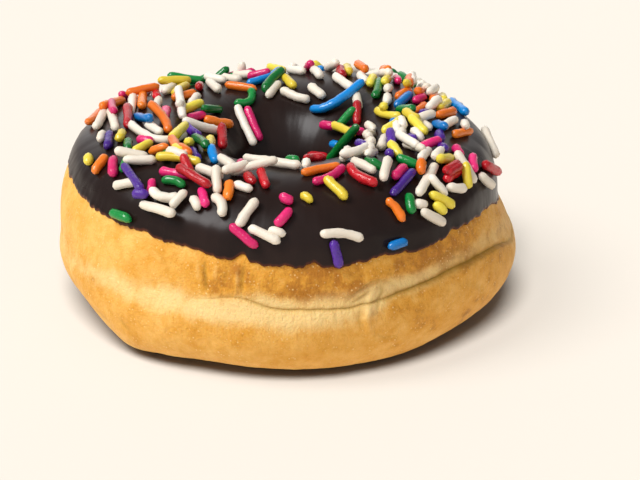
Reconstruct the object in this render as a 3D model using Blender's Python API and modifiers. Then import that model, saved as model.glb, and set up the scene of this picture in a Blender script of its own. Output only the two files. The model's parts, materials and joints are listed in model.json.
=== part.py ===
# Sprinkle frosted doughnut: a raised ring of fried dough, dipped in chocolate icing.
# Metres, +Z up. The origin is on the table, under the middle of the doughnut.
#
# A place on the doughnut has two angles, in degrees:
#   turn   round the ring, from +X towards +Y (0 right, 90 back, 180 left, 270 front)
#   sweep  round the ring's section, from its outer side upwards
#          (0 outer side, 90 crest, 180 hole, 270 base)

import math

import bmesh
import bpy
from mathutils import Vector

COLLECTION_NAME = "sprinkle_frosted_doughnut"

# The ring of dough. Its section is a squared-off round, squarer at the base than at the crest.
# Its own weight presses the base flat, by this much.
OUTER_RADIUS = 0.0452
HOLE_RADIUS = 0.0095
HEIGHT = 0.0368
BASE_PRESS = 0.0006
CREST_SQUARENESS = 2.35
BASE_SQUARENESS = 2.9
RING_SEGMENTS = 76
SECTION_SEGMENTS = 32

# The icing, a thin shell over the crest, from the outer side down into the hole.
ICING_GAP = 0.0004
ICING_THICKNESS = 0.0013
ICING_RIM_SHARE = 0.55
ICING_OUTER_EDGE = 27.0
ICING_HOLE_EDGE = 182.0
ICING_SEGMENTS = 84
ICING_ROWS = 12

# The crease round the waist, where the dough floated in the fryer.
CREASE_SWEEP = 0.0
CREASE_SPREAD = 4.5
CREASE_DEPTH = 0.0008

# Unevenness round the ring. Each term is (waves round the ring, size, turn of a peak).
SIDE_WAVES = ((2, 0.0003, 15.0), (3, 0.0003, 200.0), (5, 0.0002, 60.0))
HEIGHT_WAVES = ((1, 0.0004, 45.0), (2, 0.0004, 60.0), (3, 0.0003, 295.0))
CREASE_WAVES = ((5, 4.5, 323.0), (2, 1.5, 300.0))
OUTER_EDGE_WAVES = ((1, 5.5, 185.0), (2, 3.0, 0.0), (7, 1.0, 205.0), (11, 1.0, 250.0))
HOLE_EDGE_WAVES = ((2, 4.0, 60.0), (5, 3.0, 140.0))

# Where the ring swells or sinks: (turn, its spread, sweep, its spread, height).
# The first goes all the way round and makes the lower half the wider one.
SWELLINGS = (
    (0.0, 1000.0, -26.0, 28.0, 0.0019),
    (224.0, 15.0, -46.0, 16.0, 0.0018),
    (202.0, 16.0, -36.0, 16.0, -0.0016),
    (268.0, 24.0, -52.0, 16.0, 0.0010),
    (163.0, 34.0, 42.0, 22.0, 0.0020),
    (350.0, 45.0, -12.0, 16.0, 0.0012),
    (336.0, 24.0, -48.0, 18.0, -0.0014),
    (5.0, 32.0, 26.0, 17.0, -0.0022),
    (294.0, 4.0, -4.0, 12.0, 0.0012),
    (299.0, 4.0, 6.0, 10.0, -0.0008),
)

DOUGH_COLOUR = (0.72, 0.42, 0.13, 1.0)
DOUGH_ROUGHNESS = 0.55
ICING_COLOUR = (0.022, 0.012, 0.010, 1.0)
ICING_ROUGHNESS = 0.35


def waves(turn, terms):
    """The sum of these waves at this turn."""
    return sum(size * math.cos(math.radians(count * (turn - peak))) for count, size, peak in terms)


def bump(angle, middle, spread):
    """1 at the middle angle, falling smoothly to nothing a few spreads away."""
    apart = (angle - middle + 180.0) % 360.0 - 180.0
    return math.exp(-((apart / spread) ** 2))


def dough_point(turn, sweep):
    """The point of the dough's surface at this turn and sweep."""
    across = math.cos(math.radians(sweep))
    up = math.sin(math.radians(sweep))
    squareness = BASE_SQUARENESS + (CREST_SQUARENESS - BASE_SQUARENESS) * (1 + up) / 2
    size = (abs(across) ** squareness + abs(up) ** squareness) ** (-1 / squareness)

    push = waves(turn, SIDE_WAVES) * (1 + across) / 2
    push -= CREASE_DEPTH * bump(sweep, CREASE_SWEEP + waves(turn, CREASE_WAVES), CREASE_SPREAD)
    for middle_turn, turn_spread, middle_sweep, sweep_spread, height in SWELLINGS:
        push += height * bump(turn, middle_turn, turn_spread) * bump(sweep, middle_sweep, sweep_spread)

    half_width = (OUTER_RADIUS - HOLE_RADIUS) / 2
    half_height = (HEIGHT + BASE_PRESS + waves(turn, HEIGHT_WAVES)) / 2
    radius = HOLE_RADIUS + half_width + (half_width * size + push) * across
    level = half_height + (half_height * size + push) * up
    angle = math.radians(turn)
    return Vector((radius * math.cos(angle), radius * math.sin(angle), max(level - BASE_PRESS, 0.0)))


def point_above_dough(turn, sweep, distance):
    """The point this far outside the dough's surface, square to it."""
    step = 0.5
    along = dough_point(turn + step, sweep) - dough_point(turn - step, sweep)
    over = dough_point(turn, sweep + step) - dough_point(turn, sweep - step)
    return dough_point(turn, sweep) + along.cross(over).normalized() * distance


def add_torus(name, ring_segments, section_segments):
    """A plain torus, whose points are then moved onto the doughnut by their two angles."""
    bpy.ops.mesh.primitive_torus_add(
        major_segments=ring_segments,
        minor_segments=section_segments,
        major_radius=1.0,
        minor_radius=0.25,
    )
    torus = bpy.context.active_object
    torus.name = name
    torus.data.name = name
    return torus


def angles_on_torus(point):
    """The turn and sweep of a point of that torus."""
    turn = math.degrees(math.atan2(point.y, point.x))
    sweep = math.degrees(math.atan2(point.z, math.hypot(point.x, point.y) - 1.0))
    return turn, sweep


def add_material(name, colour, roughness):
    material = bpy.data.materials.new(name)
    material.use_nodes = True
    material.diffuse_color = colour
    shader = material.node_tree.nodes["Principled BSDF"]
    shader.inputs["Base Color"].default_value = colour
    shader.inputs["Roughness"].default_value = roughness
    shader.inputs["Metallic"].default_value = 0.0
    return material


def finish_piece(piece, material, collection):
    """Gives the piece its material and smooth shading, and files it in the doughnut's collection."""
    piece.data.materials.clear()
    piece.data.materials.append(material)
    piece.data.shade_smooth()
    for other in list(piece.users_collection):
        other.objects.unlink(piece)
    collection.objects.link(piece)


def make_dough(collection):
    """The solid ring of dough, with its flat base and the crease round its waist."""
    dough = add_torus("dough_ring", RING_SEGMENTS, SECTION_SEGMENTS)
    for vertex in dough.data.vertices:
        vertex.co = dough_point(*angles_on_torus(vertex.co))
    finish_piece(dough, add_material("fried_dough", DOUGH_COLOUR, DOUGH_ROUGHNESS), collection)
    return dough


def make_icing(collection):
    """The icing: an open band over the crest, given its thickness by Solidify."""
    icing = add_torus("chocolate_icing", ICING_SEGMENTS, 2 * ICING_ROWS)
    band = bmesh.new()
    band.from_mesh(icing.data)
    lower_half = [vertex for vertex in band.verts if vertex.co.z < -0.001]
    bmesh.ops.delete(band, geom=lower_half, context="VERTS")
    band.to_mesh(icing.data)
    band.free()

    thinning = icing.vertex_groups.new(name="thinner_at_the_rims")
    for vertex in icing.data.vertices:
        turn, sweep = angles_on_torus(vertex.co)
        share = sweep / 180.0
        outer_edge = ICING_OUTER_EDGE + waves(turn, OUTER_EDGE_WAVES)
        hole_edge = ICING_HOLE_EDGE + waves(turn, HOLE_EDGE_WAVES)
        vertex.co = point_above_dough(turn, outer_edge + (hole_edge - outer_edge) * share, ICING_GAP)
        rows_from_rim = min(share, 1.0 - share) * ICING_ROWS
        thickness_share = ICING_RIM_SHARE + (1.0 - ICING_RIM_SHARE) * min(rows_from_rim, 1.0)
        thinning.add([vertex.index], thickness_share, "REPLACE")

    shell = icing.modifiers.new("thickness", "SOLIDIFY")
    shell.thickness = ICING_THICKNESS
    shell.offset = 1.0
    shell.vertex_group = thinning.name
    shell.use_even_offset = True
    finish_piece(icing, add_material("chocolate_icing", ICING_COLOUR, ICING_ROUGHNESS), collection)
    return icing


def centre_on_origin(pieces):
    """Slides the pieces along the table until the first one's box is centred on the origin."""
    corners = [vertex.co for vertex in pieces[0].data.vertices]
    middle_x = (min(corner.x for corner in corners) + max(corner.x for corner in corners)) / 2
    middle_y = (min(corner.y for corner in corners) + max(corner.y for corner in corners)) / 2
    for piece in pieces:
        for vertex in piece.data.vertices:
            vertex.co -= Vector((middle_x, middle_y, 0.0))


def main():
    for leftover in list(bpy.data.objects):
        bpy.data.objects.remove(leftover)
    collection = bpy.data.collections.new(COLLECTION_NAME)
    bpy.context.scene.collection.children.link(collection)
    centre_on_origin([make_dough(collection), make_icing(collection)])


main()
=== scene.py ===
# Sprinkle frosted doughnut: the looks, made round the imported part. Metres, +Z up.
#
# A place on the ring has two angles, in degrees, as in the part:
#   turn   round the ring, from +X towards +Y (0 right, 90 back, 180 left, 270 front)
#   sweep  round the ring's section, from its outer side upwards
#          (0 outer side, 90 crest, 180 hole, 270 base)

import json
import math
import random

import bmesh
import bpy
import numpy as np
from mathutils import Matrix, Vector, noise
from mathutils.bvhtree import BVHTree

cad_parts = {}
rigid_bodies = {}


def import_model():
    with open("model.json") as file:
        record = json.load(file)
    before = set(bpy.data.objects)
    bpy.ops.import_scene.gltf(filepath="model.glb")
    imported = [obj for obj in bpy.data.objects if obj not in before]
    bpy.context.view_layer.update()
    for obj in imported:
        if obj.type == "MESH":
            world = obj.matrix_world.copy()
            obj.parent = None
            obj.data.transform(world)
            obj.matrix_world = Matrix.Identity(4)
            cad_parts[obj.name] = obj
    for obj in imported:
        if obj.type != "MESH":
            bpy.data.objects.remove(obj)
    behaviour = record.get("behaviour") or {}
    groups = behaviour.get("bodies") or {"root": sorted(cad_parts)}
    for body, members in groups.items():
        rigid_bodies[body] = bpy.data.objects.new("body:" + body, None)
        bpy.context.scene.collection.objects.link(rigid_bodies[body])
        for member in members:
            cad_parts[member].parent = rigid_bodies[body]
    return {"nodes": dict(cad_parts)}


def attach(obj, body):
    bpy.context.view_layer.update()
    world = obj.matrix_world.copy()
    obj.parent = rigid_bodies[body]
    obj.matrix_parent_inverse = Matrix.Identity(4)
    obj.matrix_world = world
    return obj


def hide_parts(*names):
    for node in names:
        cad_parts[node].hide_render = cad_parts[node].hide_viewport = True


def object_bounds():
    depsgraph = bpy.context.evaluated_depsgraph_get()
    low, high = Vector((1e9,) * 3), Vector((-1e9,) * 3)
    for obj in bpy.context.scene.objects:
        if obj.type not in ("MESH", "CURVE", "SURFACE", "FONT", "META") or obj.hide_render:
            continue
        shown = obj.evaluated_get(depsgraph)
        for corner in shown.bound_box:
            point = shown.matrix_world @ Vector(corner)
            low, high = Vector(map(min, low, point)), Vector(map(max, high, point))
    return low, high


mm = 0.001

for leftover in list(bpy.data.objects):
    bpy.data.objects.remove(leftover)
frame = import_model()
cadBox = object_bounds()
print("frame loaded")


# Small tools

def linearColour(hexColour):
    channels = [int(hexColour[start:start + 2], 16) / 255 for start in (1, 3, 5)]
    linear = [c / 12.92 if c <= 0.04045 else ((c + 0.055) / 1.055) ** 2.4 for c in channels]
    return (*linear, 1.0)


# inputs gives each socket, by name or number, a value or another node's output
def addNode(tree, kind, settings=None, inputs=None):
    node = tree.nodes.new(kind)
    for name, value in (settings or {}).items():
        setattr(node, name, value)
    for key, value in (inputs or {}).items():
        if isinstance(value, bpy.types.NodeSocket):
            tree.links.new(value, node.inputs[key])
        else:
            node.inputs[key].default_value = value
    return node


def newMaterial(name):
    material = bpy.data.materials.new(name)
    material.use_nodes = True
    material.node_tree.nodes.clear()
    return material


def objectFromMesh(name, points, faces, edges=()):
    mesh = bpy.data.meshes.new(name)
    mesh.from_pydata([tuple(point) for point in points], list(edges), faces)
    mesh.update()
    piece = bpy.data.objects.new(name, mesh)
    bpy.context.scene.collection.objects.link(piece)
    return piece


def storeValues(piece, name, values):
    attribute = piece.data.attributes.new(name, "FLOAT", "POINT")
    attribute.data.foreach_set("value", np.asarray(values, np.float32).ravel())


# Runs a Geometry Nodes tree on the piece and keeps its result as a plain mesh
def applyTree(piece, tree, values):
    modifier = piece.modifiers.new(tree.name, "NODES")
    modifier.node_group = tree
    for item in tree.interface.items_tree:
        if item.item_type == "SOCKET" and item.in_out == "INPUT" and item.name in values:
            modifier[item.identifier] = values[item.name]
    evaluated = piece.evaluated_get(bpy.context.evaluated_depsgraph_get())
    made = bpy.data.meshes.new_from_object(evaluated)
    piece.modifiers.clear()
    piece.data = made
    made.name = piece.name
    return piece


def degreesApart(angle, middle):
    return (angle - middle + 180.0) % 360.0 - 180.0


def smoothStep(value):
    share = np.clip(value, 0.0, 1.0)
    return share * share * (3.0 - 2.0 * share)


# A value that changes round the ring, read smoothly from a short list of (turn, value)
def roundTheRing(turn, stops, softness=1.2):
    fine = np.arange(0.0, 360.0, 0.25)
    level = np.interp(fine, [stop[0] for stop in stops], [stop[1] for stop in stops], period=360.0)
    waves = np.fft.fftfreq(len(fine), 1.0 / len(fine))
    spectrum = np.fft.fft(level) * np.exp(-0.5 * (waves * math.radians(softness)) ** 2)
    return np.interp(turn, fine, np.fft.ifft(spectrum).real, period=360.0)


# Smooth random values round the ring, waveLength in degrees, from -1 to 1
def ringNoise(turn, waveLength, seed):
    radius = 360.0 / waveLength / (2.0 * math.pi)
    angles = np.radians(turn)
    return np.array([
        noise.noise(Vector((radius * math.cos(angle), radius * math.sin(angle), seed * 7.3)))
        for angle in angles
    ]) * 1.6


# The ring, measured on the CAD dough and made smooth

ringSettings = {
    "middleShare": 0.476,  # where the middle of the section is, as a share of the ring's height
    "turns": 180,
    "sweeps": 120,
    "turnSoftness": 3.0,
    "sweepSoftness": 4.0,
    "mostWaves": 44,
}


def measureRing(node, settings):
    solid = bmesh.new()
    solid.from_mesh(node.data)
    bmesh.ops.remove_doubles(solid, verts=solid.verts, dist=0.01 * mm)
    points = np.array([vertex.co for vertex in solid.verts])
    middle = Vector(points.mean(axis=0))
    middle.z = points[:, 2].max() * settings["middleShare"]
    coreRadius = float(np.hypot(points[:, 0] - middle.x, points[:, 1] - middle.y).mean())
    surface = BVHTree.FromBMesh(solid)
    solid.free()
    distance = np.zeros((settings["turns"], settings["sweeps"]))
    for i in range(settings["turns"]):
        turn = 2.0 * math.pi * i / settings["turns"]
        outward = Vector((math.cos(turn), math.sin(turn), 0.0))
        core = middle + outward * coreRadius
        for j in range(settings["sweeps"]):
            sweep = 2.0 * math.pi * j / settings["sweeps"]
            direction = outward * math.cos(sweep) + Vector((0.0, 0.0, math.sin(sweep)))
            distance[i, j] = surface.ray_cast(core, direction)[3]
    turnWaves = np.fft.fftfreq(settings["turns"], 1.0 / settings["turns"])
    sweepWaves = np.fft.fftfreq(settings["sweeps"], 1.0 / settings["sweeps"])
    spectrum = np.fft.fft2(distance) / distance.size
    spectrum *= np.exp(-0.5 * (turnWaves * math.radians(settings["turnSoftness"])) ** 2)[:, None]
    spectrum *= np.exp(-0.5 * (sweepWaves * math.radians(settings["sweepSoftness"])) ** 2)[None, :]
    kept = np.abs(sweepWaves) <= settings["mostWaves"]
    return {
        "middle": middle,
        "coreRadius": coreRadius,
        "turnWaves": turnWaves,
        "sweepWaves": sweepWaves[kept],
        "spectrum": spectrum[:, kept],
    }


ring = measureRing(frame["nodes"]["dough_ring"], ringSettings)
print("ring measured")


def smoothDistance(turn, sweep):
    rows = np.exp(1j * np.outer(np.radians(turn), ring["turnWaves"])) @ ring["spectrum"]
    return np.array([
        (np.exp(1j * np.outer(column, ring["sweepWaves"])) @ row).real
        for column, row in zip(np.radians(sweep), rows)
    ])


def ringPoints(turn, sweep, distance):
    around = np.radians(turn)[:, None]
    over = np.radians(sweep)
    radius = ring["coreRadius"] + distance * np.cos(over)
    return np.stack([
        ring["middle"].x + radius * np.cos(around),
        ring["middle"].y + radius * np.sin(around),
        ring["middle"].z + distance * np.sin(over),
    ], axis=-1)


# The dough: its lumps, the crease round its waist, its folds, its browning, and the shade painted into the crease and
# the fold grooves

doughSettings = {
    "columns": 640,
    "rows": 150,
    "frontDensity": 0.35,
    "sideDensity": 3.2,
    "creaseDensity": 9.0,
    "lumps": ((16.0, 0.30), (6.0, 0.13), (2.2, 0.06), (1.0, 0.03)),  # (size mm, height mm)
    "baseFill": 0.4 * mm,
    # The crease left at the waterline of the fryer: (turn, sweep)
    "crease": (
        (3, -4), (20, -2), (45, 3), (70, -1), (100, 2), (130, -2), (160, 1), (190, 0), (215, -2), (235, -1.5),
        (245, -1), (250, 0), (254, 2), (257, 3.3), (259, 3), (261, 1.5), (263.5, -1), (266, -3), (268, -4),
        (280, -4), (285, -4.5), (288, -3), (290, -2), (294, -1.2), (298, -0.5), (303, 1), (310, 3),
        (317, 5), (326, 5), (332, 4), (337, 2), (343, -2), (348, -5), (352, -5),
    ),
    # How deep the crease is, and how far the lower half stands out past it: (turn, mm)
    "creaseDepth": (
        (0, 0.15), (30, 0.3), (80, 0.35), (120, 0.2), (160, 0.25), (185, 0.0), (244, 0.0), (250, 0.15),
        (260, 0.3), (268, 0.42), (284, 0.42), (292, 0.35), (300, 0.5), (330, 0.5), (342, 0.35), (350, 0.1),
    ),
    "lipHeight": (
        (0, 0.2), (40, 0.25), (90, 0.1), (140, 0.2), (190, 0.0), (248, 0.05), (262, 0.35), (286, 0.25),
        (294, 0.5), (300, 0.95), (330, 0.9), (345, 0.5),
    ),
    # The pale band round the waist, between these sweeps: (turn, sweep)
    "paleTop": (
        (10, 6), (60, 10), (110, 7), (150, 10), (185, 4), (202, 2), (220, 4), (234, 4), (246, 3), (260, 5),
        (275, 4), (285, 6), (292, 8), (305, 11), (315, 14), (338, 14), (351, 10),
    ),
    "paleBottom": (
        (0, -8), (40, -9), (90, -6), (140, -10), (190, -9), (205, -10), (225, -11), (250, -13), (266, -14),
        (280, -13), (290, -9), (296, -3), (304, 0), (322, 4), (334, 3), (345, -6),
    ),
    # How pale it is: (turn, amount)
    "paleAmount": (
        (0, 0.5), (90, 0.7), (150, 0.5), (188, 0.3), (203, 0.42), (212, 0.62), (228, 0.72), (245, 0.95),
        (268, 0.95), (285, 0.85), (300, 0.75), (322, 0.65), (345, 0.5),
    ),
    "paleSoftness": 13.0,
    # Where the ring is fuller or leaner than it was measured: (turn, spread, sweep, spread, mm)
    "fullness": (
        (258.0, 30.0, -56.0, 11.0, -1.7), (212.0, 9.0, -48.0, 12.0, -1.2), (199.0, 9.0, -36.0, 12.0, -0.6),
        (232.0, 6.0, -50.0, 10.0, -0.5), (184.0, 22.0, 14.0, 30.0, 0.8), (14.0, 24.0, 50.0, 14.0, 0.5),
    ),
    # Folds and wrinkles: path of (turn, sweep), height mm, half width mm, and how far one side is raised, mm
    "folds": (
        (((284.5, 0), (285.5, 3), (288.5, 8), (291, 10.5), (293.5, 11), (296, 8.5), (298.5, 3)), -0.25, 0.30, 0.55),
        (((286, -1), (288.5, 2), (290.6, 5)), -0.30, 0.35, 0.30),
        (((292.6, 9), (291.5, 5), (290.5, 1), (289.6, -6), (289.4, -12), (290, -19), (290.5, -23)), 0.55, 0.65, 0.0),
        (((293.5, 8), (294.0, 3), (292.6, -2), (291.8, -7)), -0.35, 0.45, 0.0),
        (((288.4, -3), (287.4, -9), (288, -16)), -0.22, 0.6, 0.0),
        (((290.5, -23), (293, -27), (297, -28), (300, -27)), 0.22, 0.40, 0.0),
        (((291.5, -20), (294, -24), (297.5, -25)), -0.15, 0.40, 0.0),
        (((249.2, 25), (249.4, 17), (249.8, 9), (250.2, 5)), -0.45, 0.45, 0.0),
        (((247.3, 26), (247.5, 18), (247.8, 10)), 0.22, 0.50, 0.0),
        (((252.6, 26), (252.3, 18), (252.0, 11)), 0.25, 0.55, 0.0),
        (((255.4, 24), (255.0, 17), (254.7, 10)), -0.15, 0.5, 0.0),
        (((258.2, 27), (257.8, 20), (257.6, 10), (257.8, 4)), 0.35, 0.45, 0.0),
        (((259.6, 25), (259.2, 16), (259.0, 6)), -0.35, 0.45, 0.0),
        (((224.5, -24), (226, -27), (228, -30)), -0.20, 0.50, 0.0),
        (((214, -27), (217, -29.5), (220, -30)), -0.18, 0.50, 0.0),
        (((233, 27), (238, 20), (240, 12)), -0.10, 0.70, 0.0),
        (((305, 14), (316, 16), (324, 15)), -0.12, 0.60, 0.0),
        (((274, 14), (276, 9), (277, 3)), 0.12, 0.60, 0.0),
        (((318, -4), (324, -12), (327, -20)), -0.10, 0.80, 0.0),
        (((60, 12), (70, 6), (84, 8), (95, 14)), -0.25, 0.5, 0.3),
        (((150, -8), (158, -16), (166, -18)), -0.25, 0.5, 0.25),
        (((20, -20), (30, -24), (42, -22)), -0.2, 0.5, 0.2),
    ),
    # Rough crumbs at the corner of the base: (turn, spread, sweep, spread, height mm)
    "crumbs": ((214.5, 4.0, -50.0, 6.0, 0.55), (209.0, 3.5, -58.0, 5.0, 0.3), (120.0, 6.0, -50.0, 6.0, 0.35)),
    # Patches that are paler than their surroundings: (turn, spread, sweep, spread, amount)
    "palePatches": (
        (256.0, 8.0, -6.0, 4.0, 0.35), (291.0, 2.6, -6.0, 9.0, 0.55), (200.0, 7.0, -5.0, 7.0, 0.1),
        (247.5, 0.7, 17.0, 8.0, 0.5), (252.3, 0.9, 18.0, 8.0, 0.5), (258.0, 0.7, 17.0, 9.0, 0.55),
        (300.0, 12.0, 6.0, 5.0, 0.25), (346.0, 6.0, 9.0, 7.0, 0.2), (280.0, 9.0, -12.0, 5.0, 0.25),
        (247.8, 0.7, 0.0, 3.0, -0.1),
    ),
    # How brown the crust is above and below the band: (turn, 0 to 1)
    "brownTop": (
        (0, 0.62), (60, 0.5), (120, 0.55), (180, 0.34), (215, 0.36), (235, 0.42), (250, 0.55), (265, 0.85),
        (280, 0.9), (300, 0.85), (330, 0.75),
    ),
    "brownBottom": (
        (0, 0.62), (60, 0.6), (120, 0.5), (180, 0.40), (205, 0.48), (235, 0.40), (250, 0.45), (280, 0.5),
        (300, 0.6), (330, 0.66),
    ),
}

turnStep = 0.77  # mm along the waist for a degree of turn
sweepStep = 0.32  # mm round the section for a degree of sweep


# How near each place is to a drawn path, in mm, which side it lies on, and how far along it is
def nearPath(turn, sweep, path):
    nearest = np.full(sweep.shape, 1e3)
    side = np.zeros(sweep.shape)
    along = np.zeros(sweep.shape)
    total = len(path) - 1
    for number, (start, end) in enumerate(zip(path, path[1:])):
        stepTurn = degreesApart(end[0], start[0]) * turnStep
        stepSweep = (end[1] - start[1]) * sweepStep
        offTurn = degreesApart(turn, start[0])[:, None] * turnStep + np.zeros(sweep.shape)
        offSweep = degreesApart(sweep, start[1]) * sweepStep
        share = (offTurn * stepTurn + offSweep * stepSweep) / (stepTurn ** 2 + stepSweep ** 2)
        share = np.clip(share, 0.0, 1.0)
        away = np.hypot(offTurn - share * stepTurn, offSweep - share * stepSweep)
        closer = away < nearest
        nearest = np.where(closer, away, nearest)
        side = np.where(closer, np.sign(stepTurn * offSweep - stepSweep * offTurn), side)
        along = np.where(closer, (number + share) / total, along)
    return nearest, side, along


# Everything known about the dough's skin at each place: its points, and the values its material reads
def doughSkin(turn, sweep, settings):
    creaseSweep = roundTheRing(turn, settings["crease"])[:, None]
    creaseSweep = creaseSweep + ringNoise(turn, 3.0, 1)[:, None] * 0.35
    depth = roundTheRing(turn, settings["creaseDepth"])[:, None]
    lip = roundTheRing(turn, settings["lipHeight"])[:, None]
    below = degreesApart(creaseSweep, sweep) * sweepStep  # mm, positive under the crease
    push = -depth * np.exp(-np.abs(below) / 0.35)
    push += lip * smoothStep(below / 0.5 + 0.1) * np.exp(-(np.maximum(below, 0.0) / 5.0) ** 2)
    push -= 0.35 * lip * smoothStep(-below / 0.4) * np.exp(-((below + 2.2) / 2.4) ** 2)
    # painted shade: how strongly the crease is darkened towards olive-brown, strongest at its bottom
    crease = np.clip(depth / 0.5, 0.0, 1.0) * np.exp(-np.abs(below) / 0.28)

    for path, height, width, raised in settings["folds"]:
        away, side, along = nearPath(turn, sweep, path)
        fade = np.clip(np.sin(np.pi * np.clip(along * 0.94 + 0.03, 0.0, 1.0)), 0.0, 1.0) ** 0.6
        push += height * fade * np.exp(-(away / width) ** 2)
        push += raised * fade * np.where(side > 0, smoothStep(away / 0.4), 0.0) * np.exp(-(away / 2.2) ** 2)
        # a fold's groove gets painted shade too
        if height < 0:
            crease = np.maximum(crease, 1.6 * -height * fade * np.exp(-(away / (0.8 * width)) ** 2))

    base = smoothDistance(turn, sweep)
    for middleTurn, turnSpread, middleSweep, sweepSpread, amount in settings["fullness"]:
        patch = np.exp(-(degreesApart(turn, middleTurn) / turnSpread) ** 2)[:, None]
        base = base + amount * mm * patch * np.exp(-(degreesApart(sweep, middleSweep) / sweepSpread) ** 2)
    underside = np.exp(-(degreesApart(sweep, -90.0) / 34.0) ** 2)
    points = ringPoints(turn, sweep, base)
    rough = np.zeros(sweep.shape)
    for size, height in settings["lumps"]:
        scale = 1.0 / (size * mm)
        rough += height * np.array([noise.noise(Vector(point) * scale) for point in points.reshape(-1, 3)]).reshape(
            sweep.shape)
    for middleTurn, turnSpread, middleSweep, sweepSpread, height in settings["crumbs"]:
        patch = np.exp(-(degreesApart(turn, middleTurn) / turnSpread) ** 2)[:, None]
        patch = patch * np.exp(-(degreesApart(sweep, middleSweep) / sweepSpread) ** 2)
        grain = np.array([
            noise.noise(Vector(point) / (1.1 * mm)) for point in points.reshape(-1, 3)]).reshape(sweep.shape)
        push += height * patch * np.abs(grain) * 2.0
        rough += 0.2 * height * patch
    distance = base + (push + rough) * mm + underside * settings["baseFill"]
    points = ringPoints(turn, sweep, distance)
    points[..., 2] = np.maximum(points[..., 2], 0.0)

    wander = ringNoise(turn, 7.0, 2)[:, None] * 1.6 + rough * 4.0
    top = roundTheRing(turn, settings["paleTop"], 3.0)[:, None] + wander
    bottom = roundTheRing(turn, settings["paleBottom"], 3.0)[:, None] + wander
    waist = degreesApart(sweep, 0.0)
    softness = settings["paleSoftness"]
    pale = smoothStep((top - waist) / softness + 0.5) * smoothStep((waist - bottom) / softness + 0.5)
    pale = pale * roundTheRing(turn, settings["paleAmount"], 3.0)[:, None]
    for middleTurn, turnSpread, middleSweep, sweepSpread, amount in settings["palePatches"]:
        patch = np.exp(-(degreesApart(turn, middleTurn) / turnSpread) ** 2)[:, None]
        pale = pale + amount * patch * np.exp(-(degreesApart(sweep, middleSweep) / sweepSpread) ** 2)
    above = smoothStep((waist + 6.0) / 12.0)
    brown = above * roundTheRing(turn, settings["brownTop"], 4.0)[:, None]
    brown = brown + (1.0 - above) * roundTheRing(turn, settings["brownBottom"], 4.0)[:, None]
    return points, {"paleBand": np.clip(pale, 0.0, 1.3), "crustBrown": brown, "creaseShade": np.clip(crease, 0.0, 1.0)}


# Angles from -180 to 180 that lie closer together where the density is higher
def unevenAngles(count, density):
    fine = np.linspace(-180.0, 180.0, 3601)
    total = np.concatenate([[0.0], np.cumsum(density((fine[1:] + fine[:-1]) / 2))])
    return np.interp(np.arange(count) / count, total / total[-1], fine)


def gridFaces(columns, rows, closed):
    faces = []
    for i in range(columns):
        for j in range(rows if closed else rows - 1):
            across = (i + 1) % columns
            upper = (j + 1) % rows
            faces.append((i * rows + j, across * rows + j, across * rows + upper, i * rows + upper))
    return faces


def makeDough(settings, material):
    turn = unevenAngles(
        settings["columns"], lambda angle: 1.0 - settings["frontDensity"] * np.sin(np.radians(angle)))
    rows = unevenAngles(
        settings["rows"],
        lambda angle: 1.0
        + settings["sideDensity"] * np.exp(-((angle + 8.0) / 44.0) ** 2)
        + settings["creaseDensity"] * np.exp(-(angle / 2.2) ** 2))
    follow = np.exp(-(rows / 24.0) ** 2)
    sweep = rows[None, :] + roundTheRing(turn, settings["crease"])[:, None] * follow[None, :]
    points, values = doughSkin(turn, sweep, settings)
    dough = objectFromMesh(
        "doughRing", points.reshape(-1, 3), gridFaces(settings["columns"], settings["rows"], True))
    dough.data.shade_smooth()
    dough.data.materials.append(material)
    for name, value in values.items():
        storeValues(dough, name, value)
    return dough


# Fried yeast dough: a thin matt crust, toasted gold to brown, and pale where it floated above the fat.
# Fine bubbles in the crust show as light specks and small pits.
doughLook = {
    "pale": "#f3cf8a",
    "gold": "#f2b95d",
    "brown": "#de9b30",
    "deepBrown": "#b8761b",
    # painted shade, laid into the crease and the grooves of the folds
    "crease": "#a97f24",
    "speck": "#ffdc98",
    "patchSize": 9.0 * mm,
    "mottleSize": 2.4 * mm,
    "speckSize": 0.75 * mm,
    "poreSize": 0.55 * mm,
    "wrinkleSize": 1.6 * mm,
    "wrinkleStretch": 0.4,
    "roughness": 0.58,
}


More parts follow.
